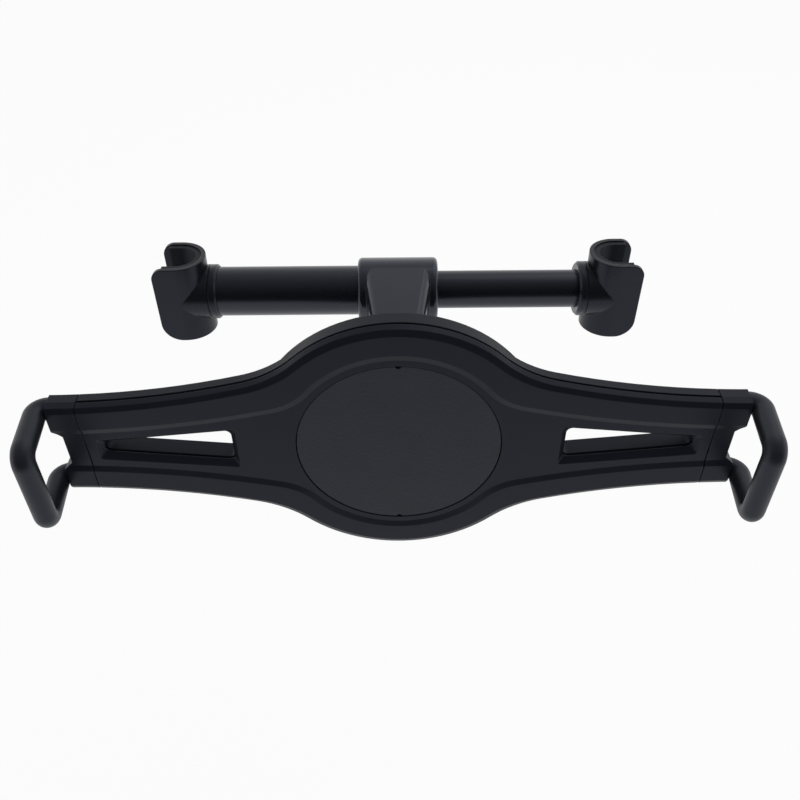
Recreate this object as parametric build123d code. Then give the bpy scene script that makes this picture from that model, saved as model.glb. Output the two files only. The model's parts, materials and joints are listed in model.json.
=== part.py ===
from build123d import *
import os
from math import acos, atan2, cos, hypot, radians, sin, sqrt

# Headrest tablet mount. +X runs along the bar, -Y points at the passenger and
# the tablet, +Z points up along the headrest posts. The origin is on the bar's
# axis, midway between the posts, with the bar fully out.

# Clearances, mm
FIT_GAP = 0.1
RUN_GAP = 0.15
BALL_GAP = 0.2
SEAM_GAP = 0.3

# Telescopic bar
POST_SPACING = 158.4
BAR_TRAVEL = 35.0
OUTER_TUBE_D = 18.0
OUTER_TUBE_WALL = 1.2
INNER_TUBE_D = 13.8
INNER_TUBE_WALL = 1.0
TUBE_MOUTH_X = 10.0
BUSH_FLANGE = 2.0
PLUG_LENGTH = 7.5
PISTON_HEAD = 4.0
PISTON_SPIGOT = 10.0
PISTON_NOSE_D = 7.6
PISTON_NOSE = 3.5
BAR_SPRING_D = 10.4
BAR_SPRING_WIRE = 1.2
BAR_SPRING_TURNS = 9
BAR_SPRING_SPARE = 2.2

# Post hooks
HOOK_R = 10.0
HOOK_WALL = 1.6
HOOK_HEIGHT = 30.0
FRONT_FLANGE = 7.9
FRONT_FLANGE_TOP_R = 4.0
FRONT_FLANGE_BOTTOM_R = 7.0
BACK_FLANGE = 7.4
BACK_FLANGE_R = 4.5
SOCKET_REACH = 13.6
SOCKET_WEB = 3.2
SOCKET_CHAMFER = 0.8
COLLAR_WIDTH = 2.9
COLLAR_GROOVE = 0.4
PAD_THICKNESS = 2.0
PAD_HEIGHT = 29.2
PAD_FLANGE = 4.4

# Screw between a hook and its end plug
HOOK_SCREW_D = 4.0
HOOK_SCREW_LENGTH = 8.0
HOOK_SCREW_HEAD_D = 7.0
HOOK_SCREW_HEAD = 1.8

# Neck casting and its set screw
SLEEVE_R = 11.9
SLEEVE_LENGTH = 29.0
SLEEVE_ROUND = 1.6
SLEEVE_END_WALL = 2.3
NECK_STEP = 0.15
NECK_LENGTH = 48.0
NECK_WIDTH = 25.6
NECK_END_WIDTH = 13.4
NECK_END_HEIGHT = 12.0
NECK_ROUND = 3.4
NECK_SCREW_D = 4.0
NECK_SCREW_SINK = 0.6

# Ball joint
BALL_R = 8.5
BALL_DEPTH = 21.4
STUD_D = 8.0
STUD_COLLAR_D = 9.2
STUD_COLLAR = 2.0
STUD_TAIL_D = 6.8
STUD_TAIL = 12.0
SEAT_RING_WALL = 1.2
SEAT_RING_FROM = 40.0
SEAT_RING_TO = 75.0
CUP_R = 13.2
CUP_FLANGE_R = 21.5
CUP_FLANGE = 3.0
CUP_MOUTH = 2.5
NUT_R = 17.5
NUT_CHAMFER = 1.6
NUT_LIP_FRONT = 2.8
NUT_LIP_BACK = 4.4
NUT_BACK = 7.0
NUT_MOUTH_R = 9.6
NUT_GRIPS = 14
NUT_GRIP_R = 2.0
NUT_GRIP_DEPTH = 0.8

# Holder body: depths are measured back from its front rim
HOLDER_FRONT = 85.4
HOLDER_THICK = 9.2
BODY_R = 42.6
BODY_FILLET = 34.0
SEAM_X = 91.0
ARM_HALF = 16.5
ARM_TAPER = 2.3
ARM_CURVE = 240.0
WALL = 1.6
FRONT_BEVEL = 2.3
ARM_FRONT_BEVEL = 2.0
FRONT_BEVEL_DEPTH = 0.8
FRONT_DRAFT = 0.5
ARM_REAR_BEVEL = 2.8
BOSS_BEVEL = 1.4
PARTING = 3.0
PARTING_GAP = 0.8
LIP_FRONT = 1.9
LIP_WALL = 0.8
LIP_ROOT = 1.0
END_RIB = 1.5

# Front recess, disc and slot windows
RECESS_R = 34.0
RECESS_ARM_HALF = 8.3
RECESS_CURVE = 300.0
RECESS_FILLET = 18.0
RECESS_DEPTH = 0.6
RECESS_SLOPE = 1.9
FLOOR_BACK = 3.5
DISC_R = 30.0
DISC_FACE = 0.7
DISC_SEAT = 2.0
DISC_EDGE = 0.25
DISC_NOTCH_R = 0.9
WINDOW_IN_X = 48.8
WINDOW_OUT_X = 86.4
WINDOW_IN_HALF = 5.9
WINDOW_OUT_HALF = 2.1
WINDOW_CORNER = 1.8
WINDOW_BEVEL = 1.6
WINDOW_BEVEL_CORNER = 0.8
WINDOW_WALL = 1.3

# Sliding arms
HEAD_LENGTH = 8.4
NOTCH_DEPTH = 2.6
NOTCH_OUT_HALF = 7.4
NOTCH_IN_HALF = 5.2
RAIL_Z = 11.0
RAIL_WIDTH = 3.8
RAIL_FRONT = 4.0
RAIL_BACK = 7.3
BRIDGE_WIDTH = 4.0
ARM_TRAVEL = 28.0

# Arm springs and their posts
ARM_SPRING_Z = 5.0
ARM_SPRING_D = 2.9
ARM_SPRING_WIRE = 0.6
ARM_SPRING_TURNS = 11
ANCHOR_X = 10.0
ANCHOR_R = 1.0
LUG_REACH = 4.0
LUG_WIDTH = 4.4
LUG_THICK = 1.0

# Claw hoops
CLAW_ROD_D = 6.4
CLAW_STAND = 3.9
CLAW_LEAN = 2.3
CLAW_DEPTH = 4.4
CLAW_ROOT_Z = 13.0
CLAW_FRONT_Z = 12.9
CLAW_FORWARD = 15.5
CLAW_ROOT_BEND = 3.4
CLAW_FRONT_BEND = 3.3
CLAW_SPIGOT_D = 4.0
CLAW_SPIGOT = 5.5

# Screws in the holder: positions are X, Z of one quarter
COVER_SCREWS = [(26.0, 25.0), (82.0, 7.0)]
COVER_SCREW_D = 1.7
COVER_SCREW_HEAD_D = 3.6
COVER_SCREW_HEAD = 0.9
COVER_SCREW_TIP = 4.0
COVER_BOSS_D = 3.8
SOCKET_SCREW = (8.0, 16.5)
SOCKET_SCREW_D = 2.8
SOCKET_SCREW_HEAD_D = 5.4
SOCKET_SCREW_HEAD = 1.7
SOCKET_SCREW_GRIP = 2.6
ACCESS_HOLE_D = 6.6

# Places that follow from the sizes above
HOOK_X = POST_SPACING / 2
CHANNEL_R = HOOK_R - HOOK_WALL
TUBE_END_X = HOOK_X - CHANNEL_R - SOCKET_WEB
OUTER_BORE_R = OUTER_TUBE_D / 2 - OUTER_TUBE_WALL
INNER_BORE_R = INNER_TUBE_D / 2 - INNER_TUBE_WALL
SPRING_SEAT_X = PLUG_LENGTH - TUBE_END_X
SPRING_SHUT = BAR_SPRING_TURNS * BAR_SPRING_WIRE + BAR_SPRING_SPARE
INNER_TUBE_START_X = SPRING_SEAT_X + SPRING_SHUT + BAR_TRAVEL + PISTON_HEAD
BALL_Y = BALL_DEPTH - HOLDER_FRONT
REAR_EDGE = HOLDER_THICK - ARM_REAR_BEVEL
BOSS_EDGE = HOLDER_THICK - BOSS_BEVEL
REAR_INNER = HOLDER_THICK - WALL
CAVITY_EDGE = REAR_EDGE + WALL - WALL * sqrt(2)
CAVITY_BEVEL = REAR_INNER - CAVITY_EDGE
CAVITY_R = BALL_R + SEAT_RING_WALL + 2 * BALL_GAP
HEAD_START_X = SEAM_X + SEAM_GAP
HEAD_X = HEAD_START_X + HEAD_LENGTH
CLAW_ROOT_X = HEAD_X + CLAW_STAND
CLAW_FRONT_X = CLAW_ROOT_X - CLAW_LEAN
RAIL_MID = (RAIL_FRONT + RAIL_BACK) / 2
BRIDGE_X = WINDOW_IN_X - WINDOW_WALL - SEAM_GAP - ARM_TRAVEL - BRIDGE_WIDTH
CUT = 1.0


def both_sides(shape):
    """The shape and its mirror image across the middle of the bar."""
    return shape + mirror(shape, about=Plane.YZ)


def four_ways(place):
    """One quarter's X, Z position repeated in all four quarters."""
    x, z = place
    return [(x, z), (-x, z), (-x, -z), (x, -z)]


def rod_x(radius, start, end):
    """Round bar along X."""
    return extrude(Plane.YZ.offset(start) * Circle(radius), amount=end - start)


def at_depth(depth):
    """Upright sketch plane, that far behind the holder's front rim."""
    return Plane((0, depth - HOLDER_FRONT, 0), x_dir=(1, 0, 0), z_dir=(0, -1, 0))


def slab(sketch, front, back):
    """Straight-sided layer of the holder between two depths."""
    return extrude(at_depth(back) * sketch, amount=back - front)


def bevel(front_sketch, front, back_sketch, back):
    """Layer whose sides slope from one outline to another."""
    return loft([at_depth(front) * front_sketch, at_depth(back) * back_sketch], ruled=True)


def pin(place, radius, front, back):
    """Round pin or hole through the holder at X, Z."""
    return slab(Pos(*place) * Circle(radius), front, back)


def arc_about(centre, start, end, radius):
    """Arc of under half a turn between two points at a radius from its centre."""
    middle = centre + ((start - centre) + (end - centre)).normalized() * radius
    return ThreePointArc(start, middle, end)


def waist(radius, arm_half, arm_curve, fillet, inset, end_x):
    """Round middle that flows through concave fillets into two gently curved arms."""
    slope = radians(ARM_TAPER)
    arm = Vector(SEAM_X + arm_curve * sin(slope), arm_half + arm_curve * cos(slope))
    reach = radius + fillet
    span = arm_curve - fillet
    swing = acos((reach ** 2 + arm.length ** 2 - span ** 2) / (2 * reach * arm.length))
    angle = atan2(arm.Y, arm.X) - swing
    turn = Vector(cos(angle), sin(angle)) * reach
    mid_r = radius - inset
    turn_r = fillet + inset
    arm_r = arm_curve + inset
    crown = Vector(0, mid_r)
    leave = turn.normalized() * mid_r
    meet = arm + (turn - arm).normalized() * arm_r
    corner = Vector(end_x, arm.Y - sqrt(arm_r ** 2 - (arm.X - end_x) ** 2))
    quarter = Curve() + [
        arc_about(Vector(0, 0), crown, leave, mid_r),
        arc_about(turn, leave, meet, turn_r),
        arc_about(arm, meet, corner, arm_r),
        Line(corner, (corner.X, 0)),
    ]
    upper = quarter + mirror(quarter, about=Plane.YZ)
    return make_face(upper + mirror(upper, about=Plane.XZ))


def body_outline(inset=0.0, end_x=SEAM_X):
    return waist(BODY_R, ARM_HALF, ARM_CURVE, BODY_FILLET, inset, end_x)


def rim_outline(end_x=SEAM_X):
    """Edge of the flat front rim, set in further round the middle than along the arms."""
    return waist(BODY_R - FRONT_BEVEL, ARM_HALF - ARM_FRONT_BEVEL, ARM_CURVE, BODY_FILLET, 0, end_x)


def recess_outline(inset=0.0, end_x=SEAM_X):
    return waist(RECESS_R, RECESS_ARM_HALF, RECESS_CURVE, RECESS_FILLET, inset, end_x)


def recess_cut(end_x):
    """The sloped-sided hollow in the holder's front."""
    return bevel(recess_outline(0, end_x), 0, recess_outline(RECESS_SLOPE, end_x), RECESS_DEPTH)


def window_outline(grow=0.0, corner=WINDOW_CORNER):
    """Right-hand slot window, wider towards the middle."""
    inner, outer = WINDOW_IN_X - grow, WINDOW_OUT_X + grow
    tall, low = WINDOW_IN_HALF + grow, WINDOW_OUT_HALF + grow
    corners = [(inner, -tall), (outer, -low), (outer, low), (inner, tall)]
    face = make_face(Polyline(*corners, close=True))
    return fillet(face.vertices(), corner)


def spin(points_and_arcs):
    """Solid of revolution about the ball joint's axis, from an X-Y half section."""
    return revolve(make_face(Curve() + points_and_arcs), axis=Axis.Y)


def at_ball(radius, back):
    """Half-section point: radius from the axis, distance behind the ball's centre."""
    return (radius, BALL_Y + back)


def polar(radius, degrees):
    """Half-section point on a sphere about the ball's centre, from the front pole."""
    angle = radians(degrees)
    return at_ball(radius * sin(angle), -radius * cos(angle))


def coil(start, end, radius, wire, turns, z=0.0, y=0.0):
    """Open helical spring along X."""
    path = Helix((end - start) / turns, end - start, radius, center=(start, y, z), direction=(1, 0, 0))
    section = Plane(path @ 0, z_dir=path % 0) * Circle(wire / 2)
    return sweep(section, path=path, is_frenet=True)


def hook(tube_d):
    """Right-hand post hook: U channel open to +X, with a round tube socket."""
    half = HOOK_HEIGHT / 2
    wall_plan = Circle(HOOK_R) - Pos(HOOK_R, 0) * Rectangle(2 * HOOK_R, 2 * HOOK_R)
    body = extrude(Plane.XY.offset(-half) * (Pos(HOOK_X, 0) * wall_plan), amount=HOOK_HEIGHT)

    front = Pos(HOOK_X + FRONT_FLANGE / 2, 0) * Rectangle(FRONT_FLANGE, HOOK_HEIGHT)
    outer_corners = front.vertices().sort_by(Axis.X)[2:].sort_by(Axis.Y)
    front = fillet(outer_corners[1], FRONT_FLANGE_TOP_R)
    lower = front.vertices().sort_by(Axis.Y)[:2].sort_by(Axis.X)[1]
    front = fillet(lower, FRONT_FLANGE_BOTTOM_R)
    back = Pos(HOOK_X + BACK_FLANGE / 2, 0) * Rectangle(BACK_FLANGE, HOOK_HEIGHT)
    back = fillet(back.vertices().sort_by(Axis.X)[2:], BACK_FLANGE_R)
    body += extrude(Plane.XZ.offset(HOOK_R) * front, amount=-HOOK_WALL)
    body += extrude(Plane.XZ.offset(-HOOK_R) * back, amount=HOOK_WALL)

    socket_end = HOOK_X - SOCKET_REACH
    socket = rod_x(HOOK_R, socket_end, HOOK_X)
    socket = chamfer(socket.faces().sort_by(Axis.X)[0].edges(), SOCKET_CHAMFER)
    groove_x = socket_end + COLLAR_WIDTH
    groove = rod_x(HOOK_R + CUT, groove_x, groove_x + COLLAR_GROOVE)
    groove -= rod_x(HOOK_R - COLLAR_GROOVE, groove_x, groove_x + COLLAR_GROOVE)
    body += socket - groove

    body -= Pos(HOOK_X, 0, 0) * Cylinder(CHANNEL_R, HOOK_HEIGHT + 2 * CUT)
    body -= Pos(HOOK_X + HOOK_R, 0, 0) * Box(2 * HOOK_R, 2 * CHANNEL_R, HOOK_HEIGHT + 2 * CUT)
    body -= rod_x(tube_d / 2 + FIT_GAP, socket_end - CUT, TUBE_END_X)
    body -= rod_x(HOOK_SCREW_D / 2 + FIT_GAP, TUBE_END_X - CUT, HOOK_X)
    body -= rod_x(HOOK_SCREW_HEAD_D / 2 + FIT_GAP, TUBE_END_X + SOCKET_WEB - HOOK_SCREW_HEAD, HOOK_X)
    return body


def hook_pad():
    """Right-hand rubber liner that hugs the post."""
    outer_r = CHANNEL_R - FIT_GAP
    inner_r = outer_r - PAD_THICKNESS
    plan = Circle(outer_r) - Pos(outer_r, 0) * Rectangle(2 * outer_r, 2 * outer_r)
    plan += Pos(PAD_FLANGE / 2, 0) * Rectangle(PAD_FLANGE, 2 * outer_r)
    plan -= Circle(inner_r)
    plan -= Pos(outer_r, 0) * Rectangle(2 * outer_r, 2 * inner_r)
    return extrude(Plane.XY.offset(-PAD_HEIGHT / 2) * (Pos(HOOK_X, 0) * plan), amount=PAD_HEIGHT)


def hook_screw():
    """Right-hand axial screw, its head sunk in the hook's channel."""
    head_x = TUBE_END_X + SOCKET_WEB - HOOK_SCREW_HEAD
    screw = rod_x(HOOK_SCREW_HEAD_D / 2, head_x, head_x + HOOK_SCREW_HEAD - FIT_GAP)
    return screw + rod_x(HOOK_SCREW_D / 2, head_x - HOOK_SCREW_LENGTH, head_x)


def end_plug(bore_r):
    """Right-hand plug inside a tube's end, bored for the hook's screw."""
    plug = rod_x(bore_r - FIT_GAP, TUBE_END_X - PLUG_LENGTH, TUBE_END_X)
    return plug - rod_x(HOOK_SCREW_D / 2 + FIT_GAP, TUBE_END_X - PLUG_LENGTH - CUT, TUBE_END_X + CUT)


def tube(radius, wall, start, end):
    return rod_x(radius, start, end) - rod_x(radius - wall, start - CUT, end + CUT)


def neck_screw_pin(radius, low, high):
    """Upright pin under the sleeve's middle, between two distances below the axis."""
    return extrude(Plane.XY.offset(-low) * Circle(radius), amount=low - high)


def outer_tube():
    shell = tube(OUTER_TUBE_D / 2, OUTER_TUBE_WALL, -TUBE_END_X, TUBE_MOUTH_X)
    return shell - neck_screw_pin(NECK_SCREW_D / 2 + FIT_GAP, OUTER_TUBE_D, OUTER_BORE_R - CUT)


def guide_bush():
    """Flanged bush in the outer tube's mouth; its inner end stops the piston."""
    outer_r = OUTER_BORE_R - FIT_GAP
    start = INNER_TUBE_START_X + SEAM_GAP
    bush = rod_x(outer_r, start, TUBE_MOUTH_X)
    bush += rod_x(OUTER_TUBE_D / 2, TUBE_MOUTH_X, TUBE_MOUTH_X + BUSH_FLANGE)
    return bush - rod_x(INNER_TUBE_D / 2 + RUN_GAP, start - CUT, TUBE_MOUTH_X + BUSH_FLANGE + CUT)


def spring_piston():
    """Stop on the inner tube's end that takes the push of the bar's spring."""
    head_x = INNER_TUBE_START_X - PISTON_HEAD
    piston = rod_x(OUTER_BORE_R - RUN_GAP, head_x, INNER_TUBE_START_X)
    piston += rod_x(INNER_BORE_R - FIT_GAP, INNER_TUBE_START_X, INNER_TUBE_START_X + PISTON_SPIGOT)
    return piston + rod_x(PISTON_NOSE_D / 2, head_x - PISTON_NOSE, head_x)


def bar_spring():
    wire = BAR_SPRING_WIRE
    start = SPRING_SEAT_X + wire / 2 + FIT_GAP
    end = INNER_TUBE_START_X - PISTON_HEAD - wire / 2 - FIT_GAP
    return coil(start, end, (BAR_SPRING_D - wire) / 2, wire, BAR_SPRING_TURNS)


def neck():
    """Sleeve and tapered neck in one casting, its top flowing off the sleeve."""
    end_half = NECK_END_HEIGHT / 2
    top_r = SLEEVE_R - NECK_STEP
    tangent = atan2(end_half, -NECK_LENGTH) - acos(top_r / hypot(NECK_LENGTH, end_half))
    touch_y, touch_z = top_r * cos(tangent), top_r * sin(tangent)
    side = [(touch_y, touch_z), (-NECK_LENGTH, end_half), (-NECK_LENGTH, -end_half), (touch_y, -touch_z)]
    profile = make_face(Polyline(*side, close=True))
    tall = extrude(Plane.YZ.offset(-NECK_WIDTH / 2) * profile, amount=NECK_WIDTH)
    plan = [
        (-NECK_WIDTH / 2, 0),
        (NECK_WIDTH / 2, 0),
        (NECK_END_WIDTH / 2, -NECK_LENGTH),
        (-NECK_END_WIDTH / 2, -NECK_LENGTH),
    ]
    plan_face = Plane.XY.offset(-SLEEVE_R) * make_face(Polyline(*plan, close=True))
    wedge = extrude(plan_face, amount=2 * SLEEVE_R)
    body = tall & wedge
    long_edges = body.edges().filter_by(lambda e: abs(e.center().X) > CUT and abs(e.center().Z) > CUT)
    long_edges = long_edges.filter_by(lambda e: e.center().Y < -CUT and e.center().Y > CUT - NECK_LENGTH)
    body = fillet(long_edges, NECK_ROUND)

    sleeve = rod_x(SLEEVE_R, -SLEEVE_LENGTH / 2, SLEEVE_LENGTH / 2)
    sleeve = fillet(sleeve.edges().filter_by(GeomType.CIRCLE), SLEEVE_ROUND)
    body += sleeve
    body -= rod_x(OUTER_TUBE_D / 2 + FIT_GAP, -SLEEVE_LENGTH, SLEEVE_LENGTH / 2 - SLEEVE_END_WALL)
    body -= rod_x(INNER_TUBE_D / 2 + SEAM_GAP, 0, SLEEVE_LENGTH)
    body -= neck_screw_pin(NECK_SCREW_D / 2 + FIT_GAP, SLEEVE_R + CUT, 0)
    tail = Plane.XZ.offset(NECK_LENGTH) * Circle(STUD_TAIL_D / 2 + FIT_GAP)
    return body - extrude(tail, amount=-STUD_TAIL - FIT_GAP)


def neck_screw():
    return neck_screw_pin(NECK_SCREW_D / 2, SLEEVE_R - NECK_SCREW_SINK, OUTER_BORE_R + FIT_GAP)


def ball_stud():
    """Ball, waist, collar and threaded tail turned in one piece."""
    neck_face = -NECK_LENGTH - BALL_Y
    join = sqrt(BALL_R ** 2 - (STUD_D / 2) ** 2)
    return spin([
        ThreePointArc(at_ball(0, -BALL_R), at_ball(BALL_R, 0), at_ball(STUD_D / 2, join)),
        Polyline(
            at_ball(STUD_D / 2, join),
            at_ball(STUD_D / 2, neck_face - STUD_COLLAR),
            at_ball(STUD_COLLAR_D / 2, neck_face - STUD_COLLAR),
            at_ball(STUD_COLLAR_D / 2, neck_face),
            at_ball(STUD_TAIL_D / 2, neck_face),
            at_ball(STUD_TAIL_D / 2, neck_face + STUD_TAIL),
            at_ball(0, neck_face + STUD_TAIL),
            at_ball(0, -BALL_R),
        ),
    ])


def seat_ring():
    """Friction ring: a zone of a thin sphere round the ball."""
    inner = BALL_R + BALL_GAP
    outer = inner + SEAT_RING_WALL
    middle = (SEAT_RING_FROM + SEAT_RING_TO) / 2
    return spin([
        ThreePointArc(polar(inner, SEAT_RING_FROM), polar(inner, middle), polar(inner, SEAT_RING_TO)),
        Line(polar(inner, SEAT_RING_TO), polar(outer, SEAT_RING_TO)),
        ThreePointArc(polar(outer, SEAT_RING_TO), polar(outer, middle), polar(outer, SEAT_RING_FROM)),
        Line(polar(outer, SEAT_RING_FROM), polar(inner, SEAT_RING_FROM)),
    ])


def socket_cup():
    """Flanged cup on the rear cover with the ball's round cavity."""
    face = HOLDER_THICK - BALL_DEPTH
    mouth_r = sqrt(CAVITY_R ** 2 - CUP_MOUTH ** 2)
    cup = spin([
        Polyline(
            at_ball(0, -CAVITY_R),
            at_ball(0, face),
            at_ball(CUP_FLANGE_R, face),
            at_ball(CUP_FLANGE_R, face + CUP_FLANGE),
            at_ball(CUP_R, face + CUP_FLANGE),
            at_ball(CUP_R, CUP_MOUTH),
            at_ball(mouth_r, CUP_MOUTH),
        ),
        ThreePointArc(at_ball(mouth_r, CUP_MOUTH), polar(CAVITY_R, 45), at_ball(0, -CAVITY_R)),
    ])
    for place in four_ways(SOCKET_SCREW):
        cup -= pin(place, SOCKET_SCREW_D / 2 + FIT_GAP, HOLDER_THICK - CUT, HOLDER_THICK + CUP_FLANGE + CUT)
    return cup


def ring_nut():
    """Grip nut: bored for the cup, with a round lip that holds the ball."""
    seat_r = BALL_R + BALL_GAP
    bore_r = CUP_R + BALL_GAP
    front = HOLDER_THICK - BALL_DEPTH + CUP_FLANGE + SEAM_GAP
    lip_front_r = sqrt(seat_r ** 2 - NUT_LIP_FRONT ** 2)
    lip_back_r = sqrt(seat_r ** 2 - NUT_LIP_BACK ** 2)
    lip_mid = (NUT_LIP_FRONT + NUT_LIP_BACK) / 2
    nut = spin([
        Polyline(
            at_ball(bore_r, front),
            at_ball(bore_r, NUT_LIP_FRONT),
            at_ball(lip_front_r, NUT_LIP_FRONT),
        ),
        ThreePointArc(
            at_ball(lip_front_r, NUT_LIP_FRONT),
            at_ball(sqrt(seat_r ** 2 - lip_mid ** 2), lip_mid),
            at_ball(lip_back_r, NUT_LIP_BACK),
        ),
        Polyline(
            at_ball(lip_back_r, NUT_LIP_BACK),
            at_ball(NUT_MOUTH_R, NUT_BACK),
            at_ball(NUT_R - NUT_CHAMFER, NUT_BACK),
            at_ball(NUT_R, NUT_BACK - NUT_CHAMFER),
            at_ball(NUT_R, front + NUT_CHAMFER),
            at_ball(NUT_R - NUT_CHAMFER, front),
            at_ball(bore_r, front),
        ),
    ])
    groove = Plane.XZ.offset(-BALL_Y - NUT_BACK - CUT) * Circle(NUT_GRIP_R)
    groove = extrude(groove, amount=NUT_BACK - front + 2 * CUT)
    for turn in range(NUT_GRIPS):
        nut -= Rot(0, 360 / NUT_GRIPS * turn, 0) * Pos(NUT_R + NUT_GRIP_R - NUT_GRIP_DEPTH, 0, 0) * groove
    return nut


def front_plate():
    """Moulded front: bevelled rim, sloped recess, disc seat and slot windows."""
    back = PARTING - PARTING_GAP / 2
    open_x = SEAM_X + CUT
    plate = bevel(rim_outline(), 0, body_outline(FRONT_DRAFT), FRONT_BEVEL_DEPTH)
    plate += bevel(body_outline(FRONT_DRAFT), FRONT_BEVEL_DEPTH, body_outline(), back)
    plate -= slab(body_outline(WALL, open_x), WALL, back)
    plate += slab(recess_outline(-WALL), WALL - FIT_GAP, RECESS_DEPTH + WALL)
    plate += pin((0, 0), DISC_R + WALL, WALL - FIT_GAP, FLOOR_BACK)
    plate += both_sides(slab(window_outline(WINDOW_BEVEL + WINDOW_WALL), WALL, back))
    for screw in COVER_SCREWS:
        for place in four_ways(screw):
            plate += pin(place, COVER_BOSS_D / 2, WALL - FIT_GAP, REAR_INNER)
    plate -= recess_cut(open_x)
    plate -= pin((0, 0), DISC_R + RUN_GAP, 0, DISC_SEAT)
    mouth = window_outline(WINDOW_BEVEL, WINDOW_BEVEL_CORNER)
    window = bevel(mouth, RECESS_DEPTH, window_outline(), RECESS_DEPTH + WINDOW_BEVEL)
    window += slab(window_outline(), RECESS_DEPTH + WINDOW_BEVEL, back + CUT)
    plate -= both_sides(window)
    for screw in COVER_SCREWS:
        for place in four_ways(screw):
            plate -= pin(place, COVER_SCREW_D / 2 + FIT_GAP, COVER_SCREW_TIP - FIT_GAP, REAR_INNER + CUT)
    for place in four_ways(SOCKET_SCREW):
        plate -= pin(place, ACCESS_HOLE_D / 2, 0, FLOOR_BACK + CUT)
    return plate


def rear_cover():
    """Moulded back: bevelled tray with a deeper round boss, a locating lip, window collars and ribs."""
    front = PARTING + PARTING_GAP / 2
    open_x = SEAM_X + CUT
    lip_back = PARTING + LIP_ROOT
    cover = slab(body_outline(), front, REAR_EDGE)
    cover += bevel(body_outline(), REAR_EDGE, body_outline(ARM_REAR_BEVEL), HOLDER_THICK)
    cover += pin((0, 0), BODY_R, REAR_EDGE, BOSS_EDGE)
    cover += bevel(Circle(BODY_R), BOSS_EDGE, Circle(BODY_R - BOSS_BEVEL), HOLDER_THICK)
    cover += slab(body_outline(WALL + FIT_GAP), LIP_FRONT, lip_back)
    cover -= slab(body_outline(WALL + FIT_GAP + LIP_WALL, open_x), LIP_FRONT, lip_back)
    cover -= slab(body_outline(WALL, open_x), lip_back, CAVITY_EDGE)
    cavity_back = body_outline(WALL + CAVITY_BEVEL, open_x)
    cover -= bevel(body_outline(WALL, open_x), CAVITY_EDGE, cavity_back, REAR_INNER)
    rib = Pos(SEAM_X - END_RIB / 2, 0) * Rectangle(END_RIB, 2 * (ARM_HALF - WALL))
    rail_gap = Pos(SEAM_X, RAIL_Z) * Rectangle(4 * END_RIB, RAIL_WIDTH + 2 * SEAM_GAP)
    rib_layer = slab(rib, front, REAR_INNER)
    rib_layer -= slab(rail_gap + mirror(rail_gap, about=Plane.XZ), front, REAR_INNER)
    cover += both_sides(rib_layer)
    cover += both_sides(slab(window_outline(WINDOW_WALL), front, REAR_INNER))
    cover -= both_sides(slab(window_outline(), front - CUT, HOLDER_THICK + CUT))
    for screw in COVER_SCREWS:
        for place in four_ways(screw):
            cover -= pin(place, COVER_SCREW_D / 2 + FIT_GAP, REAR_INNER - CUT, HOLDER_THICK + CUT)
            seat = HOLDER_THICK - COVER_SCREW_HEAD
            cover -= pin(place, COVER_SCREW_HEAD_D / 2 + FIT_GAP, seat, HOLDER_THICK + CUT)
    for place in four_ways(SOCKET_SCREW):
        cover -= pin(place, SOCKET_SCREW_D / 2 + FIT_GAP, REAR_INNER - CUT, HOLDER_THICK + CUT)
    for side in (1, -1):
        cover += pin((-side * ANCHOR_X, side * ARM_SPRING_Z), ANCHOR_R, RAIL_FRONT, REAR_INNER)
    return cover


def centre_disc():
    """Thin round cover over the socket's screws, with two pry notches."""
    disc = bevel(Circle(DISC_R - DISC_EDGE), DISC_FACE, Circle(DISC_R), DISC_FACE + DISC_EDGE)
    disc += pin((0, 0), DISC_R, DISC_FACE + DISC_EDGE, DISC_SEAT)
    for side in (1, -1):
        disc -= pin((0, side * DISC_R), DISC_NOTCH_R, DISC_FACE - CUT, DISC_SEAT + CUT)
    return disc


def cover_screws():
    screws = []
    for screw in COVER_SCREWS:
        for place in four_ways(screw):
            shape = pin(place, COVER_SCREW_HEAD_D / 2, HOLDER_THICK - COVER_SCREW_HEAD, HOLDER_THICK)
            screws.append(shape + pin(place, COVER_SCREW_D / 2, COVER_SCREW_TIP, HOLDER_THICK))
    return Compound(children=screws)


def socket_screws():
    screws = []
    tip = HOLDER_THICK + SOCKET_SCREW_GRIP
    for place in four_ways(SOCKET_SCREW):
        shape = pin(place, SOCKET_SCREW_HEAD_D / 2, REAR_INNER - SOCKET_SCREW_HEAD, REAR_INNER)
        screws.append(shape + pin(place, SOCKET_SCREW_D / 2, REAR_INNER - SOCKET_SCREW_HEAD, tip))
    return Compound(children=screws)


def claw_pin(z, radius, start, end):
    """Round pin or hole along X where a claw's leg enters the arm's head."""
    return Pos(0, CLAW_DEPTH - HOLDER_FRONT, z) * rod_x(radius, start, end)


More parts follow.
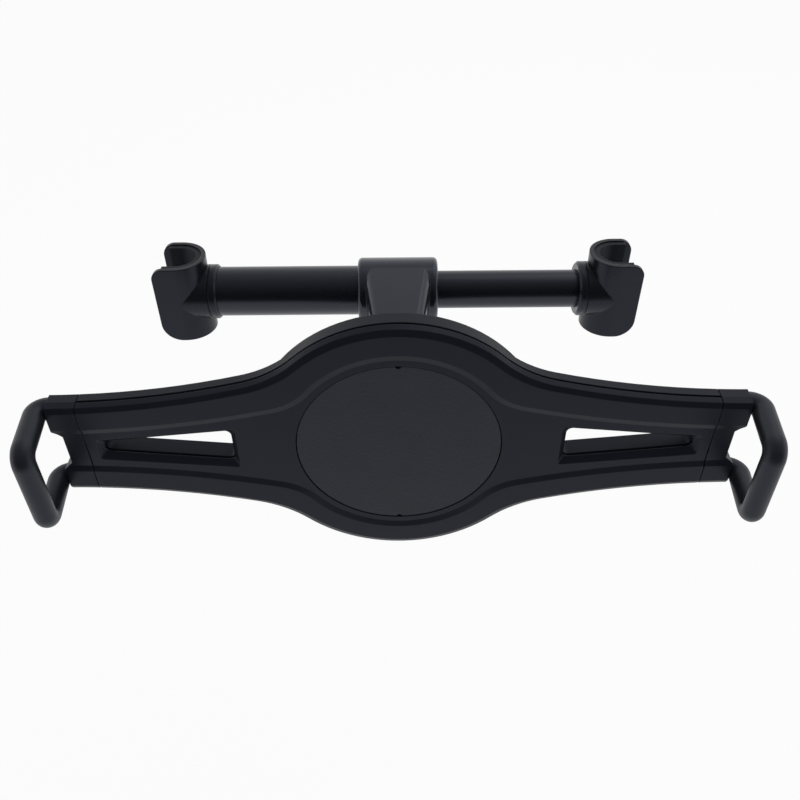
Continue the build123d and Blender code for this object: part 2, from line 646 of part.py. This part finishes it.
def arm(spring_z):
    """Right-hand sliding arm: head, two rails, bridge and spring lug in one moulding."""
    outline = body_outline(0, HEAD_X)
    front_edge = body_outline(FRONT_DRAFT, HEAD_X)
    head = bevel(rim_outline(HEAD_X), 0, front_edge, FRONT_BEVEL_DEPTH)
    head += bevel(front_edge, FRONT_BEVEL_DEPTH, outline, PARTING)
    head += slab(outline, PARTING, REAR_EDGE)
    head += bevel(outline, REAR_EDGE, body_outline(ARM_REAR_BEVEL, HEAD_X), HOLDER_THICK)
    head_width = HEAD_X - HEAD_START_X
    outside_seam = Pos(HEAD_START_X + head_width / 2, 0) * Rectangle(head_width, 4 * ARM_HALF)
    head &= slab(outside_seam, 0, HOLDER_THICK)
    head -= recess_cut(HEAD_X + CUT)
    notch = [
        (HEAD_X + CUT, NOTCH_OUT_HALF),
        (HEAD_X, NOTCH_OUT_HALF),
        (HEAD_X - NOTCH_DEPTH, NOTCH_IN_HALF),
        (HEAD_X - NOTCH_DEPTH, -NOTCH_IN_HALF),
        (HEAD_X, -NOTCH_OUT_HALF),
        (HEAD_X + CUT, -NOTCH_OUT_HALF),
    ]
    head -= slab(make_face(Polyline(*notch, close=True)), -CUT, HOLDER_THICK + CUT)

    rail_length = HEAD_START_X + CUT - BRIDGE_X
    frame = Pos(BRIDGE_X + BRIDGE_WIDTH / 2, 0) * Rectangle(BRIDGE_WIDTH, 2 * RAIL_Z + RAIL_WIDTH)
    for z in (RAIL_Z, -RAIL_Z):
        frame += Pos(BRIDGE_X + rail_length / 2, z) * Rectangle(rail_length, RAIL_WIDTH)
    head += slab(frame, RAIL_FRONT, RAIL_BACK)
    lug = Pos(BRIDGE_X - LUG_REACH / 2, spring_z) * Rectangle(LUG_REACH, LUG_WIDTH)
    head += slab(lug, RAIL_BACK - LUG_THICK, RAIL_BACK)
    head += pin((BRIDGE_X - LUG_REACH / 2, spring_z), ANCHOR_R, RAIL_FRONT, RAIL_BACK)
    for z in (CLAW_ROOT_Z, -CLAW_ROOT_Z):
        head -= claw_pin(z, CLAW_SPIGOT_D / 2 + FIT_GAP, HEAD_X - CLAW_SPIGOT, HEAD_X + CUT)
    return head


def claw():
    """Right-hand hoop: one rod bent forward, across the tablet's edge and back."""
    root_y = CLAW_DEPTH - HOLDER_FRONT
    front_y = -CLAW_FORWARD - HOLDER_FRONT
    path = FilletPolyline(
        (HEAD_X, root_y, CLAW_ROOT_Z),
        (CLAW_ROOT_X, root_y, CLAW_ROOT_Z),
        (CLAW_FRONT_X, front_y, CLAW_FRONT_Z),
        (CLAW_FRONT_X, front_y, -CLAW_FRONT_Z),
        (CLAW_ROOT_X, root_y, -CLAW_ROOT_Z),
        (HEAD_X, root_y, -CLAW_ROOT_Z),
        radius=[CLAW_ROOT_BEND, CLAW_FRONT_BEND, CLAW_FRONT_BEND, CLAW_ROOT_BEND],
    )
    hoop = sweep(Plane(path @ 0, z_dir=path % 0) * Circle(CLAW_ROD_D / 2), path=path)
    for z in (CLAW_ROOT_Z, -CLAW_ROOT_Z):
        hoop += claw_pin(z, CLAW_SPIGOT_D / 2, HEAD_X - CLAW_SPIGOT + FIT_GAP, HEAD_X + FIT_GAP)
    return hoop


def arm_spring(spring_z):
    """Right-hand spring, stretched from its post past the middle to the arm's lug."""
    y = RAIL_MID - HOLDER_FRONT
    radius = (ARM_SPRING_D - ARM_SPRING_WIRE) / 2
    start = -ANCHOR_X + ANCHOR_R + ARM_SPRING_WIRE / 2 + RUN_GAP
    end = BRIDGE_X - LUG_REACH - ARM_SPRING_WIRE / 2 - RUN_GAP
    return coil(start, end, radius, ARM_SPRING_WIRE, ARM_SPRING_TURNS, spring_z, y)


def left(shape):
    return mirror(shape, about=Plane.YZ)


NODES = {
    "outer_tube": outer_tube(),
    "inner_tube": tube(INNER_TUBE_D / 2, INNER_TUBE_WALL, INNER_TUBE_START_X, TUBE_END_X),
    "guide_bush": guide_bush(),
    "spring_piston": spring_piston(),
    "bar_spring": bar_spring(),
    "left_end_plug": left(end_plug(OUTER_BORE_R)),
    "right_end_plug": end_plug(INNER_BORE_R),
    "left_hook": left(hook(OUTER_TUBE_D)),
    "right_hook": hook(INNER_TUBE_D),
    "left_hook_pad": left(hook_pad()),
    "right_hook_pad": hook_pad(),
    "left_hook_screw": left(hook_screw()),
    "right_hook_screw": hook_screw(),
    "neck": neck(),
    "neck_screw": neck_screw(),
    "ball_stud": ball_stud(),
    "seat_ring": seat_ring(),
    "ring_nut": ring_nut(),
    "socket_cup": socket_cup(),
    "socket_screws": socket_screws(),
    "front_plate": front_plate(),
    "rear_cover": rear_cover(),
    "cover_screws": cover_screws(),
    "centre_disc": centre_disc(),
    "left_arm": left(arm(-ARM_SPRING_Z)),
    "right_arm": arm(ARM_SPRING_Z),
    "left_claw": left(claw()),
    "right_claw": claw(),
    "left_arm_spring": left(arm_spring(-ARM_SPRING_Z)),
    "right_arm_spring": arm_spring(ARM_SPRING_Z),
}

os.makedirs("parts", exist_ok=True)
for name, shape in NODES.items():
    export_step(shape, f"parts/{name}.step")
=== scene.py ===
import json
from math import cos, radians, sin

import bmesh
import bpy
from mathutils import Matrix, Vector


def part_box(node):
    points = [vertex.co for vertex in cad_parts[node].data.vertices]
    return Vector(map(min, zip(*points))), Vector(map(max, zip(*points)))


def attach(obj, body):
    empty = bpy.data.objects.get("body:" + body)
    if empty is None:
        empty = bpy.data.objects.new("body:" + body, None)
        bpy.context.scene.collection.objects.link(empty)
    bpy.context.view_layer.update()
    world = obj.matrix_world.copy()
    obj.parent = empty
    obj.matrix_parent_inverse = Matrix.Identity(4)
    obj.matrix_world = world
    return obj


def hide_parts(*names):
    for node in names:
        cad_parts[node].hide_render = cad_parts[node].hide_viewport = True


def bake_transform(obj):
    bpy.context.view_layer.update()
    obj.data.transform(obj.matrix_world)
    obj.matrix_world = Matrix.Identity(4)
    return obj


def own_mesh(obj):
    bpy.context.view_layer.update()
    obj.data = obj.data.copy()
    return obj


# Headrest tablet mount: a black moulded holder on a telescopic bar. Metres, in
# the part's own frame: +X along the bar, -Y towards the passenger, +Z up.

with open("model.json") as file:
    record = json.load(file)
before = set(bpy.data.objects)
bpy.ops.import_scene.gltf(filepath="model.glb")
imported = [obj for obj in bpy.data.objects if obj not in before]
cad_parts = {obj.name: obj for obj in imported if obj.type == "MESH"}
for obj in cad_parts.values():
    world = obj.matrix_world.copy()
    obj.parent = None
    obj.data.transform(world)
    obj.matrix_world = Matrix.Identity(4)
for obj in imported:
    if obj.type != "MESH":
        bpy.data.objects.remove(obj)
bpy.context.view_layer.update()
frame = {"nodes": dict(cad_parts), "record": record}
nodes = frame["nodes"]
MM = 0.001
WELD = 0.001 * MM

# Camera of a square picture, fitted to the centre disc's ellipse, the bar and the hooks
PICTURE_SIDE = 800
FOCAL_PIXELS = 825
SENSOR = 36.0
CAMERA_PLACE = Vector((0.44, -260.12, 166.93)) * MM
CAMERA_DROP = 40.3
CAMERA_ROLL = -0.48
CAMERA_NEAR = 10 * MM

# Studio
WHITE = (1, 1, 1, 1)
FLOOR_DROP = 300 * MM
FLOOR_SIDE = 80.0
FLOOR_GLOW = 0.8
FLOOR_TONE = (0.93, 0.93, 0.93, 1)
SKY_FILL = 0.85
KEY_PLACE = Vector((0.5, 0.35, 1.1))
KEY_SIDE = 0.9
KEY_POWER = 2.5
KEY_AIM = Vector((0, -0.06, 0))

# Curved sheet over the part that paints dark reflections: angles up from the front, in degrees
# Black of the painted dark reflections
PAINTED_REFLECTION_TONE = (0.004, 0.004, 0.004, 1)
HOOD_AWAY = 0.85
HOOD_START = -19
HOOD_SOLID = 12
HOOD_END = 175
HOOD_CURVE = 1.3
HOOD_WIDE = 3.0
HOOD_STEPS = 46

# Finishes: the sizes of their clouds, the stretch of their lines along each axis,
# and the cool sheen of the black plastic, rubber and coats
CLOUD_SIZE = 14 * MM
RUBBER_CLOUD = 8.4 * MM
NYLON_CLOUD = 5.6 * MM
STEEL_CLOUD = 4.2 * MM
NOISE_MEAN = 0.5
TUBE_STRETCH = (0.02, 1, 1)
STEEL_STRETCH = (1, 0.06, 1)
EDGE_SAMPLES = 6
COOL_SHEEN = (0.74, 0.79, 1.0, 1.0)

# Sockets of the Mix node that hold colours
MIX_FIRST = 6
MIX_SECOND = 7
MIX_RESULT = 2

# Driver recesses of the screws, as parts of a head's radius
CROSS_REACH = 0.62
CROSS_WIDTH = 0.22
CROSS_DEPTH = 0.34
CROSS_TAPER = 0.6
HEX_REACH = 0.6
HEX_DEPTH = 0.9
SMOOTH_ANGLE = 30
PLACE_DIGITS = 5


class Value:
    """An output of a finish's nodes. Arithmetic on it adds Math nodes."""

    def __init__(self, finish, socket):
        self.finish = finish
        self.socket = socket

    def math(self, operation, first, second):
        return self.finish.node("ShaderNodeMath", {"operation": operation}, {0: first, 1: second})

    def __add__(self, other):
        return self.math("ADD", self, other)

    def __radd__(self, other):
        return self.math("ADD", other, self)

    def __sub__(self, other):
        return self.math("SUBTRACT", self, other)

    def __rsub__(self, other):
        return self.math("SUBTRACT", other, self)

    def __mul__(self, other):
        return self.math("MULTIPLY", self, other)

    def __rmul__(self, other):
        return self.math("MULTIPLY", other, self)


class Finish:
    """The nodes of one material, or of the studio's surroundings."""

    def __init__(self, owner):
        owner.use_nodes = True
        self.owner = owner
        self.tree = owner.node_tree
        self.tree.nodes.clear()

    def node(self, kind, settings=None, inputs=None, output=0):
        made = self.tree.nodes.new(kind)
        for name, setting in (settings or {}).items():
            setattr(made, name, setting)
        for name, value in (inputs or {}).items():
            if isinstance(value, Value):
                self.tree.links.new(value.socket, made.inputs[name])
            else:
                made.inputs[name].default_value = value
        return Value(self, made.outputs[output]) if made.outputs else made

    def place(self):
        """Position on the piece, in metres."""
        return self.node("ShaderNodeTexCoord", output="Object")

    def stretched(self, stretch):
        """Position with each axis scaled, for grain that runs one way."""
        return self.node("ShaderNodeVectorMath", {"operation": "MULTIPLY"}, {0: self.place(), 1: stretch})

    def noise(self, place, size, detail):
        """Soft random pattern between 0 and 1, with spots of about that size."""
        return self.node("ShaderNodeTexNoise", None, {"Vector": place, "Scale": 1 / size, "Detail": detail})

    def pits(self, place, size):
        """Distance to the nearest of scattered points: the pebbles of a spark-eroded mould."""
        return self.node("ShaderNodeTexVoronoi", None, {"Vector": place, "Scale": 1 / size})

    def blend(self, factor, first, second):
        """Colour between two others."""
        inputs = {0: factor, MIX_FIRST: (*first, 1), MIX_SECOND: (*second, 1)}
        return self.node("ShaderNodeMix", {"data_type": "RGBA"}, inputs, MIX_RESULT)

    def relief(self, height, depth, strength, edge):
        """Surface direction from a grain's height, with the piece's edges just broken."""
        edges = self.node("ShaderNodeBevel", {"samples": EDGE_SAMPLES}, {"Radius": edge})
        inputs = {"Strength": strength, "Distance": depth, "Height": height, "Normal": edges}
        return self.node("ShaderNodeBump", None, inputs)

    def surface(self, **inputs):
        """Finished material, from the Principled inputs by name."""
        named = {name.replace("_", " "): value for name, value in inputs.items()}
        shader = self.node("ShaderNodeBsdfPrincipled", None, named)
        self.node("ShaderNodeOutputMaterial", None, {"Surface": shader})
        return self.owner


def moulded(name, dark, light, grain, bite, roughness, specular, edge):
    """Injection-moulded plastic: a spark-eroded grain with slow clouds in tone and sheen."""
    finish = Finish(bpy.data.materials.new(name))
    cloud = finish.noise(finish.place(), CLOUD_SIZE, detail=3)
    pebble = finish.pits(finish.place(), grain)
    fleck = finish.noise(finish.place(), grain * 0.7, detail=2)
    tone = 0.55 * cloud + 0.45 * fleck
    return finish.surface(
        Base_Color=finish.blend(tone, dark, light),
        Roughness=roughness + 0.12 * (cloud - NOISE_MEAN) + 0.1 * (fleck - NOISE_MEAN),
        Specular_IOR_Level=specular,
        Specular_Tint=COOL_SHEEN,
        Normal=finish.relief(0.6 * pebble + 0.4 * fleck, depth=grain * 0.12, strength=bite, edge=edge),
    )


def rubber(name, dark, light, grain, roughness, specular, edge):
    """Soft matte rubber with a dusty bloom in places."""
    finish = Finish(bpy.data.materials.new(name))
    cloud = finish.noise(finish.place(), RUBBER_CLOUD, detail=4)
    fleck = finish.noise(finish.place(), grain, detail=3)
    return finish.surface(
        Base_Color=finish.blend(0.6 * cloud + 0.4 * fleck, dark, light),
        Roughness=roughness + 0.16 * (cloud - NOISE_MEAN),
        Specular_IOR_Level=specular,
        Specular_Tint=COOL_SHEEN,
        Normal=finish.relief(fleck, depth=grain * 0.1, strength=0.3, edge=edge),
    )


def anodised_tube(name, dark, light, line_width, roughness, specular, edge):
    """Black drawn tube: faint draw lines along its length under a satin coat."""
    finish = Finish(bpy.data.materials.new(name))
    line = finish.noise(finish.stretched(TUBE_STRETCH), line_width, detail=2)
    cloud = finish.noise(finish.place(), CLOUD_SIZE, detail=2)
    return finish.surface(
        Base_Color=finish.blend(0.5 * line + 0.5 * cloud, dark, light),
        Roughness=roughness + 0.04 * (line - NOISE_MEAN) + 0.04 * (cloud - NOISE_MEAN),
        Specular_IOR_Level=specular,
        Specular_Tint=COOL_SHEEN,
        Normal=finish.relief(line, depth=0.01 * MM, strength=0.03, edge=edge),
    )


def cast_neck(name, dark, light, peel_size, roughness, specular, edge):
    """Satin black paint over a casting, with a faint orange peel."""
    finish = Finish(bpy.data.materials.new(name))
    peel = finish.noise(finish.place(), peel_size, detail=2)
    cloud = finish.noise(finish.place(), CLOUD_SIZE, detail=3)
    return finish.surface(
        Base_Color=finish.blend(cloud, dark, light),
        Roughness=roughness + 0.05 * (peel - NOISE_MEAN) + 0.06 * (cloud - NOISE_MEAN),
        Specular_IOR_Level=specular,
        Specular_Tint=COOL_SHEEN,
        Normal=finish.relief(peel, depth=0.02 * MM, strength=0.15, edge=edge),
    )


def nylon(name, dark, light, grain, roughness, edge):
    """Natural grey-white nylon of the sliding parts."""
    finish = Finish(bpy.data.materials.new(name))
    cloud = finish.noise(finish.place(), NYLON_CLOUD, detail=3)
    fleck = finish.noise(finish.place(), grain, detail=2)
    return finish.surface(
        Base_Color=finish.blend(0.5 * cloud + 0.5 * fleck, dark, light),
        Roughness=roughness + 0.15 * (cloud - NOISE_MEAN),
        Normal=finish.relief(fleck, depth=0.03 * MM, strength=0.2, edge=edge),
    )


def metal(name, dark, light, line_width, roughness, edge):
    """Bare or blackened steel with fine drawn or turned lines."""
    finish = Finish(bpy.data.materials.new(name))
    line = finish.noise(finish.stretched(STEEL_STRETCH), line_width, detail=2)
    cloud = finish.noise(finish.place(), STEEL_CLOUD, detail=3)
    return finish.surface(
        Base_Color=finish.blend(0.5 * line + 0.5 * cloud, dark, light),
        Metallic=1.0,
        Roughness=roughness + 0.12 * (line - NOISE_MEAN) + 0.1 * (cloud - NOISE_MEAN),
        Normal=finish.relief(line, depth=0.02 * MM, strength=0.15, edge=edge),
    )


def finishes():
    """One material for each slot of the record."""
    return {
        "holder_plastic": moulded(
            "holder_plastic", dark=(0.0056, 0.0060, 0.0096), light=(0.0084, 0.0088, 0.0132),
            grain=0.3 * MM, bite=0.35, roughness=0.38, specular=0.2, edge=0.3 * MM),
        "hook_plastic": moulded(
            "hook_plastic", dark=(0.0052, 0.0055, 0.0070), light=(0.0078, 0.0082, 0.0102),
            grain=0.35 * MM, bite=0.3, roughness=0.28, specular=0.34, edge=0.5 * MM),
        "disc_plastic": moulded(
            "disc_plastic", dark=(0.0105, 0.0111, 0.0138), light=(0.0265, 0.0277, 0.0325),
            grain=0.8 * MM, bite=0.8, roughness=0.45, specular=0.22, edge=0.2 * MM),
        "tube_black": anodised_tube(
            "tube_black", dark=(0.0050, 0.0054, 0.0068), light=(0.0066, 0.0071, 0.0088),
            line_width=0.35 * MM, roughness=0.28, specular=0.56, edge=0.25 * MM),
        "neck_satin": cast_neck(
            "neck_satin", dark=(0.0070, 0.0074, 0.0092), light=(0.0105, 0.0110, 0.0134),
            peel_size=1.3 * MM, roughness=0.2, specular=0.64, edge=0.4 * MM),
        "claw_rubber": rubber(
            "claw_rubber", dark=(0.0070, 0.0074, 0.0090), light=(0.0120, 0.0126, 0.0150),
            grain=0.4 * MM, roughness=0.42, specular=0.42, edge=0.3 * MM),
        "pad_rubber": rubber(
            "pad_rubber", dark=(0.0044, 0.0047, 0.0058), light=(0.0080, 0.0084, 0.0102),
            grain=0.5 * MM, roughness=0.55, specular=0.3, edge=0.25 * MM),
        "nylon": nylon(
            "nylon", dark=(0.5, 0.5, 0.47), light=(0.6, 0.6, 0.58),
            grain=0.3 * MM, roughness=0.42, edge=0.2 * MM),
        "ball_metal": metal(
            "ball_metal", dark=(0.020, 0.020, 0.022), light=(0.034, 0.034, 0.037),
            line_width=0.3 * MM, roughness=0.34, edge=0.2 * MM),
        "spring_steel": metal(
            "spring_steel", dark=(0.38, 0.38, 0.39), light=(0.52, 0.52, 0.53),
            line_width=0.2 * MM, roughness=0.28, edge=0.1 * MM),
        "screw_steel": metal(
            "screw_steel", dark=(0.07, 0.07, 0.076), light=(0.13, 0.13, 0.138),
            line_width=0.15 * MM, roughness=0.36, edge=0.12 * MM),
    }


def dress(piece, material):
    piece.data.materials.clear()
    piece.data.materials.append(material)


def from_bmesh(name, shape):
    mesh = bpy.data.meshes.new(name)
    shape.to_mesh(mesh)
    shape.free()
    piece = bpy.data.objects.new(name, mesh)
    bpy.context.scene.collection.objects.link(piece)
    return piece


def loose_solids(node):
    """Boxes, as lowest and highest corners, of the separate solids in one node."""
    shape = bmesh.new()
    shape.from_mesh(node.data)
    bmesh.ops.remove_doubles(shape, verts=shape.verts, dist=WELD)
    left = set(shape.verts)
    boxes = []
    while left:
        grown = [left.pop()]
        for vertex in grown:
            for edge in vertex.link_edges:
                other = edge.other_vert(vertex)
                if other in left:
                    left.remove(other)
                    grown.append(other)
        low = Vector(min(v.co[axis] for v in grown) for axis in range(3))
        high = Vector(max(v.co[axis] for v in grown) for axis in range(3))
        boxes.append((low, high))
    shape.free()
    return sorted(boxes, key=lambda box: tuple(round(c, PLACE_DIGITS) for c in box[0]))


def cross_recess(cutters, at_face, radius):
    """Cross-shaped pit that narrows inwards, set into a screw's face."""
    reach, width, depth = CROSS_REACH * radius, CROSS_WIDTH * radius, CROSS_DEPTH * radius
    arm = [Vector((reach, -width)), Vector((reach, width)), Vector((width, width))]
    outline = []
    for _ in range(4):
        outline += arm
        arm = [point.orthogonal() for point in arm]
    low = []
    high = []
    for point in outline:
        low.append(cutters.verts.new(at_face @ Vector((*(CROSS_TAPER * point), -depth))))
        high.append(cutters.verts.new(at_face @ Vector((*point, depth))))
    cutters.faces.new(high)
    cutters.faces.new(low[::-1])
    for i in range(len(outline)):
        cutters.faces.new((low[i - 1], low[i], high[i], high[i - 1]))


def hex_recess(cutters, at_face, radius):
    """Six-sided socket, set into a screw's face."""
    reach = HEX_REACH * radius
    prism = bmesh.ops.create_cone(
        cutters, cap_ends=True, segments=6, radius1=reach, radius2=reach, depth=2 * HEX_DEPTH * radius)
    bmesh.ops.transform(cutters, matrix=at_face, verts=prism["verts"])


def welded_copy(node_name, name):
    """A new piece with a node's own shape."""
    shape = bmesh.new()
    shape.from_mesh(nodes[node_name].data)
    bmesh.ops.remove_doubles(shape, verts=shape.verts, dist=WELD)
    return from_bmesh(name, shape)


def driven_screws(node_name, outward, recess):
    """A node's screws with a driver recess in each head, in the node's place."""
    node = nodes[node_name]
    piece = welded_copy(node_name, node_name + "_driven")
    cutters = bmesh.new()
    turn = outward.to_track_quat("Z", "Y").to_matrix().to_4x4()
    across = [axis for axis in range(3) if not outward[axis]]
    for low, high in loose_solids(node):
        half = (high - low) / 2
        face = low + half + outward * abs(half.dot(outward))
        recess(cutters, Matrix.Translation(face) @ turn, max(half[axis] for axis in across))
    cutter = from_bmesh("recess_cutter", cutters)
    carve = piece.modifiers.new("recess", "BOOLEAN")
    carve.operation = "DIFFERENCE"
    carve.solver = "EXACT"
    carve.object = cutter
    carved = bpy.data.meshes.new_from_object(piece.evaluated_get(bpy.context.evaluated_depsgraph_get()))
    piece.modifiers.clear()
    piece.data = carved
    bpy.data.objects.remove(cutter)
    carved.shade_smooth()
    carved.set_sharp_from_angle(angle=radians(SMOOTH_ANGLE))
    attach(piece, body_of(node_name))
    stand_in(piece, node_name)


def working_spring(joint):
    """A joint's spring as a copy of its node, attached to the node's body when the joint's travel runs
    towards the spring's fixed end.
    """
    held = joint["deforming_nodes"][0]
    piece = welded_copy(held["node"], held["node"] + "_coil")
    piece.data.shade_smooth()
    stand_in(piece, held["node"])
    low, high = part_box(held["node"])
    still, moved = sorted((low[0], high[0]), key=lambda x: abs(x - held["fixed_end_x_m"]))
    travel = max(joint["range_m"], key=abs) * joint["axis"][0]
    if travel * (moved - still) < 0:
        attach(piece, body_of(held["node"]))
        1 - abs(travel / (moved - still))
        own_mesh(piece)
    else:
        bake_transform(piece)


def body_of(node_name):
    bodies = frame["record"]["behaviour"]["bodies"]
    return next(body for body, held in bodies.items() if node_name in held)


def stand_in(piece, node_name):
    """The piece takes a node's place and finish."""
    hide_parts(node_name)
    subparts = frame["record"]["subparts"]
    slot = next(part["material_slot"] for part in subparts if part["node"] == node_name)
    dress(piece, coats[slot])


def camera():
    lens = bpy.data.cameras.new("camera")
    lens.sensor_width = SENSOR
    lens.lens = FOCAL_PIXELS / PICTURE_SIDE * SENSOR
    lens.clip_start = CAMERA_NEAR
    made = bpy.data.objects.new("camera", lens)
    tilt = Matrix.Rotation(radians(90 - CAMERA_DROP), 4, "X")
    roll = Matrix.Rotation(radians(CAMERA_ROLL), 4, "Z")
    made.matrix_world = Matrix.Translation(CAMERA_PLACE) @ tilt @ roll
    bpy.context.scene.collection.objects.link(made)
    bpy.context.scene.camera = made


def seen_rays(finish):
    """1 for rays that show the background itself, directly or mirrored, and 0 for its light."""
    camera_ray = finish.node("ShaderNodeLightPath", output="Is Camera Ray")
    glossy_ray = finish.node("ShaderNodeLightPath", output="Is Glossy Ray")
    through_ray = finish.node("ShaderNodeLightPath", output="Is Transmission Ray")
    return camera_ray.math("MAXIMUM", camera_ray.math("MAXIMUM", camera_ray, glossy_ray), through_ray)


def surroundings():
    """White all round, a little lower as a light than as a backdrop."""
    world = bpy.data.worlds.new("studio")
    bpy.context.scene.world = world
    finish = Finish(world)
    strength = SKY_FILL + (1 - SKY_FILL) * seen_rays(finish)
    light = finish.node("ShaderNodeBackground", None, {"Color": WHITE, "Strength": strength})
    finish.node("ShaderNodeOutputWorld", None, {"Surface": light})


def floor():
    shape = bmesh.new()
    bmesh.ops.create_grid(shape, x_segments=1, y_segments=1, size=FLOOR_SIDE / 2)
    piece = from_bmesh("floor", shape)
    piece.location.z = -FLOOR_DROP
    finish = Finish(bpy.data.materials.new("pale_floor"))
    matte = finish.node("ShaderNodeBsdfDiffuse", None, {"Color": FLOOR_TONE})
    glow = finish.node("ShaderNodeEmission", None, {"Color": WHITE, "Strength": 1.0})
    shown = finish.node("ShaderNodeMixShader", None, {0: FLOOR_GLOW * seen_rays(finish), 1: matte, 2: glow})
    finish.node("ShaderNodeOutputMaterial", None, {"Surface": shown})
    dress(piece, finish.owner)


def painted_reflection_hood():
    """Painted dark reflection: a sheet curved over the part, black in front and clear behind, seen only in
    reflections.
    """
    shape = bmesh.new()
    bmesh.ops.create_grid(shape, x_segments=1, y_segments=HOOD_STEPS, size=0.5)
    # The flat sheet's Y, from -0.5 to 0.5, becomes the angle
    for corner in shape.verts:
        turn = radians(HOOD_START + (corner.co.y + 0.5) * (HOOD_END - HOOD_START))
        corner.co = Vector((corner.co.x * HOOD_WIDE, -HOOD_AWAY * cos(turn), HOOD_AWAY * sin(turn)))
    piece = from_bmesh("painted_reflection_hood", shape)
    piece.visible_camera = False
    piece.visible_diffuse = False
    piece.visible_shadow = False
    finish = Finish(bpy.data.materials.new("painted_reflection_black"))
    back = finish.node("ShaderNodeSeparateXYZ", None, {"Vector": finish.place()}, "Y")
    up = finish.node("ShaderNodeSeparateXYZ", None, {"Vector": finish.place()}, "Z")
    turn = up.math("ARCTAN2", up, -1 * back)
    spread = {"Value": turn, "From Min": radians(HOOD_SOLID), "From Max": radians(HOOD_END)}
    opening = finish.node("ShaderNodeMapRange", None, spread)
    fade = opening.math("POWER", opening, HOOD_CURVE)
    # Painted dark reflection: black low in front, fading to clear further over the part
    black = finish.node("ShaderNodeBsdfDiffuse", None, {"Color": PAINTED_REFLECTION_TONE})
    clear = finish.node("ShaderNodeBsdfTransparent", None, {"Color": WHITE})
    shown = finish.node("ShaderNodeMixShader", None, {0: fade, 1: black, 2: clear})
    finish.node("ShaderNodeOutputMaterial", None, {"Surface": shown})
    dress(piece, finish.owner)


def key_lamp():
    lamp = bpy.data.lights.new("key_lamp", "AREA")
    lamp.shape = "SQUARE"
    lamp.size = KEY_SIDE
    lamp.energy = KEY_POWER
    made = bpy.data.objects.new("key_lamp", lamp)
    turn = (KEY_PLACE - KEY_AIM).to_track_quat("Z", "Y")
    made.matrix_world = Matrix.Translation(KEY_PLACE) @ turn.to_matrix().to_4x4()
    bpy.context.scene.collection.objects.link(made)


camera()
surroundings()
floor()
# Painted dark reflections from a sheet that only glossy rays see
painted_reflection_hood()
key_lamp()

coats = finishes()
for subpart in frame["record"]["subparts"]:
    dress(nodes[subpart["node"]], coats[subpart["material_slot"]])

driven_screws("cover_screws", Vector((0, 1, 0)), cross_recess)
driven_screws("socket_screws", Vector((0, -1, 0)), cross_recess)
driven_screws("neck_screw", Vector((0, 0, -1)), hex_recess)
for joint in frame["record"]["behaviour"]["joints"]:
    if "deforming_nodes" in joint:
        working_spring(joint)

bpy.context.scene.view_settings.view_transform = "Standard"
